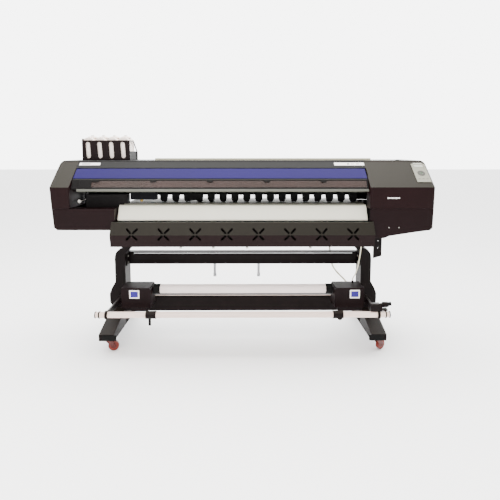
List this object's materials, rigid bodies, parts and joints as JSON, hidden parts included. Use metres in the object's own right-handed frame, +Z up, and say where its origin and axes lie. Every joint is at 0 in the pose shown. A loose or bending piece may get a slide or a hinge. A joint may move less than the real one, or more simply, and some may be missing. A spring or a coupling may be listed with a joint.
{
  "type": "wide-format printer cutter",
  "caption": "Wide-format printer and vinyl cutter with slanted lid, ink tanks, drying hood, tension bar and motor take-up on a caster stand.",
  "frame": {"origin": "centre of the bounding box on the floor under the casters", "axes": "+X to the right along the machine, -Y to the front, +Z up"},
  "size_m": [2.64, 0.914, 1.512],
  "materials": {
    "stand_black": "fine textured powder coat",
    "bolt_steel": "zinc plated",
    "rod_steel": "satin",
    "fork_red": "gloss",
    "tread_red": "moulded polyurethane",
    "chassis_grey": "satin",
    "platen_metal": "anodised",
    "apron_cream": "satin",
    "guide_grey": "satin",
    "rail_alu": "anodised extrusion",
    "belt_rubber": "moulded",
    "pulley_steel": "turned",
    "motor_black": "matt",
    "grit_steel": "abrasive coated",
    "arm_black": "matt",
    "roller_rubber": "matt",
    "knob_white": "gloss",
    "carriage_grey": "matt",
    "head_metal": "satin",
    "cutter_blue": "matt",
    "holder_brass": "turned",
    "capper_grey": "matt",
    "cover_upper": "satin",
    "cover_lower": "satin gloss",
    "cover_top": "satin",
    "band_blue": "gloss",
    "frame_black": "satin",
    "visor_smoke": "gloss",
    "trim_light": "satin",
    "dryer_dark": "satin",
    "blower_metal": "satin",
    "ink_dark": "gloss",
    "tray_grey": "satin",
    "tank_white": "translucent blow moulded",
    "panel_grey": "fine texture",
    "key_green": "satin",
    "key_grey": "satin",
    "box_brown": "satin",
    "flange_black": "matt",
    "media_white": "smooth",
    "bar_white": "satin",
    "arm_steel": "satin",
    "shaft_alu": "satin",
    "bracket_dark": "satin",
    "cable_cream": "smooth PVC"
  },
  "bodies": {
    "machine": {"leg_left": "stand_black", "leg_right": "stand_black", "upper_crossbeam": "stand_black", "lower_crossbeam": "stand_black", "stand_bolts": "bolt_steel", "hanger_rods": "rod_steel", "machine_base": "chassis_grey", "platen": "platen_metal", "front_apron": "apron_cream", "rear_apron": "guide_grey", "rail_beam": "rail_alu", "drive_belt": "belt_rubber", "drive_motors": "motor_black", "left_cap_upper": "cover_upper", "left_cap_lower": "cover_lower", "right_cap_upper": "cover_upper", "right_cap_lower": "cover_lower", "top_cover": "cover_top", "dryer_housing": "dryer_dark", "ink_cover": "ink_dark", "ink_tray": "tray_grey", "ink_tanks": "tank_white", "control_panel": "panel_grey", "takeup_box_left": "box_brown", "takeup_box_right": "box_brown", "supply_brackets": "stand_black", "drain_bracket": "bracket_dark", "cable_bundle": "cable_cream", "cable_single": "cable_cream"},
    "lid": {"lid_band": "band_blue", "lid_frame": "frame_black", "lid_visor": "visor_smoke", "lid_trim": "trim_light"},
    "print_unit": {"print_carriage": "carriage_grey", "print_heads": "head_metal"},
    "cutter": {"cutter_carriage": "cutter_blue"},
    "blade": {"blade_holder": "holder_brass"},
    "capper": {"cap_station": "capper_grey"},
    "drive_wheel": {"drive_pulley": "pulley_steel"},
    "idler_wheel": {"idler_pulley": "pulley_steel"},
    "grit": {"grit_roller": "grit_steel"},
    "pinch_frame": {"pinch_arms": "arm_black"},
    "pinch_set": {"pinch_rollers": "roller_rubber"},
    "lever": {"loading_lever": "knob_white"},
    "blower": {"dryer_blower": "blower_metal"},
    "enter_button": {"key_enter": "key_green"},
    "nav_button": {"key_nav": "key_grey"},
    "takeup": {"takeup_spindle": "flange_black", "takeup_roll": "media_white"},
    "dancer": {"tension_bar": "bar_white", "tension_arms": "arm_steel"},
    "supply": {"supply_shaft": "shaft_alu"},
    "swivel_fl": {"caster_fork_fl": "fork_red"},
    "wheel_fl": {"caster_wheel_fl": "tread_red"},
    "swivel_fr": {"caster_fork_fr": "fork_red"},
    "wheel_fr": {"caster_wheel_fr": "tread_red"},
    "swivel_rl": {"caster_fork_rl": "fork_red"},
    "wheel_rl": {"caster_wheel_rl": "tread_red"},
    "swivel_rr": {"caster_fork_rr": "fork_red"},
    "wheel_rr": {"caster_wheel_rr": "tread_red"}
  },
  "joints": [
    {"name": "lid_hinge", "type": "hinge", "parent": "machine", "child": "lid", "pos_m": [0, -0.18346, 1.28979], "axis": [-1, 0, 0], "range_deg": [0, 80]},
    {"name": "carriage_slide", "type": "slide", "parent": "machine", "child": "print_unit", "axis": [1, 0, 0], "range_m": [-1.4, 0]},
    {"name": "cutter_slide", "type": "slide", "parent": "machine", "child": "cutter", "axis": [1, 0, 0], "range_m": [0, 0.12]},
    {"name": "blade_slide", "type": "slide", "parent": "cutter", "child": "blade", "axis": [0, 0, 1], "range_m": [-0.0045, 0], "stiffness_N_per_m": 400, "springref_m": 0.005},
    {"name": "cap_lift", "type": "slide", "parent": "machine", "child": "capper", "axis": [0, 0, 1], "range_m": [0, 0.005]},
    {"name": "drive_pulley_spin", "type": "hinge", "parent": "machine", "child": "drive_wheel", "pos_m": [1.284, -0.061, 1.244], "axis": [0, 1, 0], "continuous": true},
    {"name": "idler_pulley_spin", "type": "hinge", "parent": "machine", "child": "idler_wheel", "pos_m": [-1.15, -0.061, 1.244], "axis": [0, 1, 0], "continuous": true},
    {"name": "grit_spin", "type": "hinge", "parent": "machine", "child": "grit", "pos_m": [0, -0.1, 1.029], "axis": [1, 0, 0], "continuous": true},
    {"name": "lever_hinge", "type": "hinge", "parent": "machine", "child": "lever", "pos_m": [-1.152, -0.07, 1.06], "axis": [-1, 0, 0], "range_deg": [0, 30]},
    {"name": "pinch_lift", "type": "hinge", "parent": "machine", "child": "pinch_frame", "pos_m": [0, -0.04, 1.092], "axis": [-1, 0, 0], "range_deg": [0, 12]},
    {"name": "pinch_spin", "type": "hinge", "parent": "pinch_frame", "child": "pinch_set", "pos_m": [0, -0.1, 1.0499], "axis": [1, 0, 0], "continuous": true},
    {"name": "blower_spin", "type": "hinge", "parent": "machine", "child": "blower", "pos_m": [0, -0.377, 0.846], "axis": [1, 0, 0], "continuous": true},
    {"name": "enter_press", "type": "slide", "parent": "machine", "child": "enter_button", "axis": [0, 0.6292, -0.7772], "range_m": [0, 0.001], "stiffness_N_per_m": 300},
    {"name": "nav_tilt", "type": "hinge", "parent": "machine", "child": "nav_button", "pos_m": [1.263, -0.232, 1.25757], "axis": [1, 0, 0], "range_deg": [-2.5, 2.5], "stiffness_Nm_per_rad": 0.5},
    {"name": "takeup_spin", "type": "hinge", "parent": "machine", "child": "takeup", "pos_m": [0, -0.23, 0.42], "axis": [1, 0, 0], "continuous": true},
    {"name": "dancer_hinge", "type": "hinge", "parent": "machine", "child": "dancer", "pos_m": [0, -0.1, 0.3], "axis": [-1, 0, 0], "range_deg": [0, 35]},
    {"name": "supply_spin", "type": "hinge", "parent": "machine", "child": "supply", "pos_m": [0, 0.37, 0.742], "axis": [1, 0, 0], "continuous": true},
    {"name": "swivel_fl_turn", "type": "hinge", "parent": "machine", "child": "swivel_fl", "pos_m": [-0.9565, -0.33, 0.084], "axis": [0, 0, 1], "continuous": true},
    {"name": "wheel_fl_roll", "type": "hinge", "parent": "swivel_fl", "child": "wheel_fl", "pos_m": [-0.92129, -0.32251, 0.037], "axis": [0.2079, -0.9781, 0], "continuous": true},
    {"name": "swivel_fr_turn", "type": "hinge", "parent": "machine", "child": "swivel_fr", "pos_m": [0.9565, -0.33, 0.084], "axis": [0, 0, 1], "continuous": true},
    {"name": "wheel_fr_roll", "type": "hinge", "parent": "swivel_fr", "child": "wheel_fr", "pos_m": [0.98562, -0.30884, 0.037], "axis": [0.5878, -0.809, 0], "continuous": true},
    {"name": "swivel_rl_turn", "type": "hinge", "parent": "machine", "child": "swivel_rl", "pos_m": [-0.9565, 0.33, 0.084], "axis": [0, 0, 1], "continuous": true},
    {"name": "wheel_rl_roll", "type": "hinge", "parent": "swivel_rl", "child": "wheel_rl", "pos_m": [-0.98829, 0.3469, 0.037], "axis": [0.4695, 0.8829, 0], "continuous": true},
    {"name": "swivel_rr_turn", "type": "hinge", "parent": "machine", "child": "swivel_rr", "pos_m": [0.9565, 0.33, 0.084], "axis": [0, 0, 1], "continuous": true},
    {"name": "wheel_rr_roll", "type": "hinge", "parent": "swivel_rr", "child": "wheel_rr", "pos_m": [0.99033, 0.34231, 0.037], "axis": [0.342, -0.9397, 0], "continuous": true}
  ],
  "couplings": [
    {"joint": "drive_pulley_spin", "follows": "carriage_slide", "rad_per_m": -83.333},
    {"joint": "idler_pulley_spin", "follows": "carriage_slide", "rad_per_m": -83.333},
    {"joint": "pinch_spin", "follows": "grit_spin", "ratio": -1.2778},
    {"joint": "pinch_lift", "follows": "lever_hinge", "ratio": 0.4}
  ]
}
